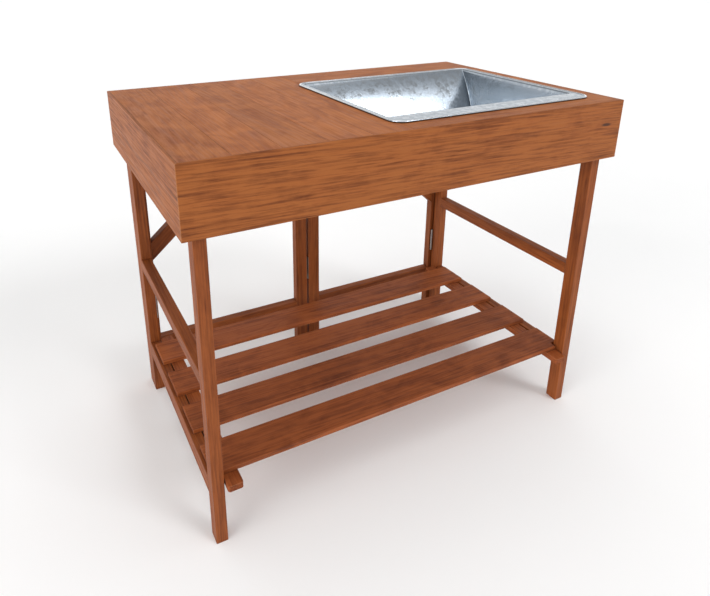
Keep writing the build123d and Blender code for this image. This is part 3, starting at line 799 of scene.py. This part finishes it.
def tray_piece(material):
    """The tray as one closed skin of thin sheet.

    Rows of the section are carried round rectangles with round corners. The sheet is not quite
    flat: it rises by waviness times the size of a slow wave, which is the product of a sine of X
    and a sine of Y plus a slanting sine of both, and which fades in with the depth below the
    rim. The rolled edge is flattened a little where it rests on the boards.
    """
    tray = bpy.context.scene.potting_bench.tray
    low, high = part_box("tray")
    middle = (low + high) / 2
    bead_level = high.z - tray.bead
    depth = bead_level + tray.sheet - low.z
    rows = tray_rows(tray, high.x - middle.x, high.y - middle.y, bead_level, depth)
    x, y = round_cornered_rings(rows[:, 0], rows[:, 1], rows[:, 2], per_corner=9, per_side=26)
    y = y + rows[:, 3:4]
    z = np.repeat(rows[:, 4:5], x.shape[1], axis=1)
    fade = np.clip((bead_level - z) / depth, 0.0, 1.0)
    wave = np.sin(23.0 * x + 1.0) * np.sin(29.0 * y + 0.4) + 0.6 * np.sin(41.0 * x - 17.0 * y)
    z = z + tray.waviness * fade * np.abs(wave)
    z = np.clip(z, low.z, high.z)
    by_bead = np.abs(z - bead_level) < tray.bead * 1.01
    z = np.where(by_bead, np.maximum(z, bead_level - BEAD_SEAT), z)
    points = np.stack((x + middle.x, y + middle.y, z), axis=-1)
    count, columns = x.shape
    pole_y = middle.y + rows[0, 3]
    poles = np.array([[middle.x, pole_y, points[0, 0, 2]], [middle.x, pole_y, points[-1, 0, 2]]])
    vertices = np.concatenate((points.reshape(-1, 3), poles))
    first_pole, last_pole = count * columns, count * columns + 1
    faces = grid_faces(count, columns)
    faces += fan_faces(first_pole, 0, columns, in_order=True)
    faces += fan_faces(last_pole, (count - 1) * columns, columns, in_order=False)
    return mesh_object("galvanised_tray", vertices, faces, material)


def galvanised_material():
    """Hot-dipped zinc: bright blue-grey metal with crystals of two sizes."""
    tray = bpy.context.scene.potting_bench.tray
    material, recipe, shader = new_material("galvanised_sheet")
    place = recipe.node("ShaderNodeTexCoord").outputs["Object"]
    # Painted shade: occlusion within the reach darkens the tray's inner corners.
    corners = group_node(recipe, "joint_painted_shade", {"Reach": tray.corner_shade_reach})
    level = recipe.node("ShaderNodeSeparateXYZ", {"Vector": place}).outputs["Z"]
    # Painted highlight: the rolled edge painted pale above this level.
    bead_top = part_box("tray")[1].z
    bead_highlight = recipe.remap(level, bead_top - tray.bead + tray.sheet, bead_top - 0.4 * tray.bead)
    spangle = group_node(
        recipe,
        "zinc_spangle",
        {
            "Point": place,
            "Crystal": tray.spangle,
            "Shade": corners["Mask"],
            "Bead Highlight": bead_highlight,
            "Pale": opaque(tray.zinc_pale),
            "Dark": opaque(tray.zinc_dark),
        },
    )
    recipe.feed(shader["Base Color"], spangle["Color"])
    recipe.feed(shader["Roughness"], spangle["Roughness"])
    shader["Metallic"].default_value = 1.0
    bump = {"Height": spangle["Height"], "Strength": 0.08, "Distance": 0.0004}
    recipe.feed(shader["Normal"], recipe.node("ShaderNodeBump", bump).outputs["Normal"])
    return material


def plated_material(name, pale, dark):
    """Zinc-plated steel for hinges and screws."""
    material, recipe, shader = new_material(name)
    place = recipe.node("ShaderNodeTexCoord").outputs["Object"]
    edge_mask = group_node(recipe, "pale_edge_mask", {"Radius": 0.0006})
    plating = group_node(
        recipe,
        "zinc_plating",
        {"Point": place, "Pale Edge": edge_mask["Mask"], "Pale": opaque(pale), "Dark": opaque(dark)},
    )
    recipe.feed(shader["Base Color"], plating["Color"])
    recipe.feed(shader["Roughness"], plating["Roughness"])
    shader["Metallic"].default_value = 1.0
    bump = {"Height": plating["Height"], "Strength": 0.2, "Distance": 0.0001}
    recipe.feed(shader["Normal"], recipe.node("ShaderNodeBump", bump).outputs["Normal"])
    return material


# ---- operators ------------------------------------------------------------------------------------
class POTTING_OT_frames(bpy.types.Operator):
    """Finish the legs, posts, rails and braces"""

    bl_idname = "potting_bench.frames"
    bl_label = "Frames"

    def execute(self, context):
        wood = context.scene.potting_bench.wood
        for seed, node in enumerate(FRAME_STICKS + REAR_STICKS, start=1):
            material = wood_material(
                node, wood.stick_pale, wood.stick_dark, seed, STICK_GRAIN, tilt=0.02
            )
            dress(node, material)
        return {"FINISHED"}


class POTTING_OT_aprons(bpy.types.Operator):
    """Finish the four apron boards"""

    bl_idname = "potting_bench.aprons"
    bl_label = "Aprons"

    def execute(self, context):
        wood = context.scene.potting_bench.wood
        for seed, node in enumerate(APRONS, start=31):
            knot = APRON_KNOT if node == "front_apron" else {}
            pale, dark = wood.apron_pale, wood.apron_dark
            material = wood_material(node, pale, dark, seed, APRON_GRAIN, pith_distance=0.05, **knot)
            dress(node, material)
        return {"FINISHED"}


class POTTING_OT_worktop(bpy.types.Operator):
    """Finish the worktop boards, the strips round the tray and the battens below"""

    bl_idname = "potting_bench.worktop"
    bl_label = "Worktop"

    def execute(self, context):
        wood = context.scene.potting_bench.wood
        for seed, node in enumerate(WORKTOP_BOARDS + WORKTOP_STRIPS, start=41):
            material = wood_material(
                node, wood.worktop_pale, wood.worktop_dark, seed, WORKTOP_GRAIN, tilt=0.04
            )
            dress(node, material)
        for seed, node in enumerate(TOP_BATTENS, start=51):
            material = wood_material(node, wood.stick_pale, wood.stick_dark, seed, STICK_GRAIN)
            dress(node, material)
        return {"FINISHED"}


class POTTING_OT_shelf(bpy.types.Operator):
    """Finish the shelf's slats and battens"""

    bl_idname = "potting_bench.shelf"
    bl_label = "Shelf"

    def execute(self, context):
        wood = context.scene.potting_bench.wood
        for seed, node in enumerate(SLATS + SHELF_BATTENS, start=61):
            material = wood_material(
                node, wood.slat_pale, wood.slat_dark, seed, SLAT_GRAIN, pith_distance=0.06
            )
            dress(node, material)
        return {"FINISHED"}


class POTTING_OT_tray(bpy.types.Operator):
    """Build the galvanised tray with its rolled edge"""

    bl_idname = "potting_bench.tray"
    bl_label = "Tray"

    def execute(self, context):
        piece = tray_piece(galvanised_material())
        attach(piece, "tray")
        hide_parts("tray")
        return {"FINISHED"}


class POTTING_OT_hardware(bpy.types.Operator):
    """Finish the hinges and the screws"""

    bl_idname = "potting_bench.hardware"
    bl_label = "Hinges and screws"

    def execute(self, context):
        hinge_finish = plated_material("plated_hinge_steel", *HINGE_ZINC)
        for node in HINGE_PARTS:
            dress(node, hinge_finish)
        screw_finish = plated_material("plated_screw_steel", *SCREW_ZINC)
        for node in ("hinge_screws", "top_screws", "shelf_screws"):
            dress(node, screw_finish)
        return {"FINISHED"}


# ---- stage ------------------------------------------------------------------------------------------
def floor_piece(radius, material):
    """A round, level floor: circles whose radii grow evenly from the middle."""
    steps = np.linspace(0.0, 1.0, 21)[1:]
    turns = np.linspace(0.0, 2 * math.pi, 97)[:-1]
    reach = steps[:, None] * radius * np.ones(len(turns))
    level = np.zeros(reach.shape)
    points = np.stack((reach * np.cos(turns), reach * np.sin(turns), level), axis=-1).reshape(-1, 3)
    vertices = np.concatenate((points, np.zeros((1, 3))))
    rings = [face[::-1] for face in grid_faces(len(steps), len(turns))]
    faces = rings + fan_faces(len(points), 0, len(turns), in_order=True)
    return mesh_object("studio_floor", vertices, faces, material)


def soft_sun(name, toward, angle, strength, tint):
    """A wide, distant studio light that stands in the direction toward."""
    light = bpy.data.lights.new(name, "SUN")
    light.angle = angle
    light.energy = strength
    light.color = tint
    lamp = bpy.data.objects.new(name, light)
    lamp.rotation_euler = (-Vector(toward)).to_track_quat("-Z", "Y").to_euler()
    bpy.context.scene.collection.objects.link(lamp)
    return lamp


def studio_world(stage):
    """Even walls, a dimmer ceiling and a bright patch overhead, before a plain white backdrop."""
    world = bpy.data.worlds.new("studio")
    world.use_nodes = True
    recipe = Recipe(world.node_tree)
    direction = recipe.node("ShaderNodeTexCoord").outputs["Generated"]
    up = recipe.node("ShaderNodeSeparateXYZ", {"Vector": direction}).outputs["Z"]
    around = recipe.remap(up, *CEILING_START, stage.wall_light, stage.ceiling_light)
    light = recipe.math("ADD", around, recipe.remap(up, *OVERHEAD_START, 0.0, stage.overhead_light))
    seen = recipe.node("ShaderNodeLightPath").outputs["Is Camera Ray"]
    strength = recipe.node("ShaderNodeMix", {0: seen, 2: light, 3: stage.backdrop}).outputs[0]
    sky = world.node_tree.nodes["Background"].inputs
    sky["Color"].default_value = (1.0, 1.0, 1.0, 1.0)
    recipe.feed(sky["Strength"], strength)
    return world


class POTTING_OT_stage(bpy.types.Operator):
    """Build the pale floor, the soft lights and the camera"""

    bl_idname = "potting_bench.stage"
    bl_label = "Stage"

    def execute(self, context):
        stage = context.scene.potting_bench.stage
        material, recipe, shader = new_material("pale_floor")
        place = recipe.node("ShaderNodeTexCoord").outputs["Object"]
        cloud = recipe.noise(place, 1.0, scale=1.5, detail=3.0)
        paler = opaque(Vector(stage.floor_colour) * 1.02)
        floor_mix = recipe.mix(recipe.remap(cloud, 0.3, 0.7), opaque(stage.floor_colour), paler)
        recipe.feed(shader["Base Color"], floor_mix)
        shader["Roughness"].default_value = 0.9
        shader["Specular IOR Level"].default_value = 0.1
        floor_piece(stage.floor_radius, material)

        context.scene.world = studio_world(stage)
        soft_sun("key_light", *KEY_LIGHT)
        soft_sun("tray_light", *TRAY_LIGHT)

        camera = bpy.data.objects.new("camera", bpy.data.cameras.new("camera"))
        back = Vector(
            (
                math.sin(stage.azimuth) * math.cos(stage.elevation),
                -math.cos(stage.azimuth) * math.cos(stage.elevation),
                math.sin(stage.elevation),
            )
        )
        camera.location = Vector(stage.aim) + back * stage.distance
        camera.rotation_euler = (-back).to_track_quat("-Z", "Y").to_euler()
        camera.data.sensor_width = 36.0
        camera.data.lens = stage.lens
        camera.data.shift_x, camera.data.shift_y = stage.shift
        context.scene.collection.objects.link(camera)
        context.scene.camera = camera
        context.scene.view_settings.view_transform = "Standard"
        return {"FINISHED"}


class POTTING_PT_sidebar(bpy.types.Panel):
    """Lists the bench's pieces and their settings"""

    bl_label = "Potting Bench"
    bl_space_type = "VIEW_3D"
    bl_region_type = "UI"
    bl_category = "Potting Bench"

    def draw(self, context):
        settings = context.scene.potting_bench
        for operator in OPERATORS:
            self.layout.operator(operator.bl_idname)
        for group in (settings.wood, settings.tray, settings.stage):
            box = self.layout.box()
            for name in group.__annotations__:
                box.prop(group, name)


OPERATORS = (
    POTTING_OT_stage,
    POTTING_OT_frames,
    POTTING_OT_aprons,
    POTTING_OT_worktop,
    POTTING_OT_shelf,
    POTTING_OT_tray,
    POTTING_OT_hardware,
)
SETTINGS = (OiledWoodSettings, TraySettings, StageSettings, BenchSettings)
CLASSES = (*SETTINGS, *OPERATORS, POTTING_PT_sidebar)


def register():
    for cls in CLASSES:
        bpy.utils.register_class(cls)
    bpy.types.Scene.potting_bench = PointerProperty(type=BenchSettings)


def unregister():
    del bpy.types.Scene.potting_bench
    for cls in reversed(CLASSES):
        bpy.utils.unregister_class(cls)


def main():
    """Finish every piece in order."""
    register()
    bpy.ops.potting_bench.stage()
    bpy.ops.potting_bench.frames()
    bpy.ops.potting_bench.aprons()
    bpy.ops.potting_bench.worktop()
    bpy.ops.potting_bench.shelf()
    bpy.ops.potting_bench.tray()
    bpy.ops.potting_bench.hardware()


if __name__ == "__main__":
    main()
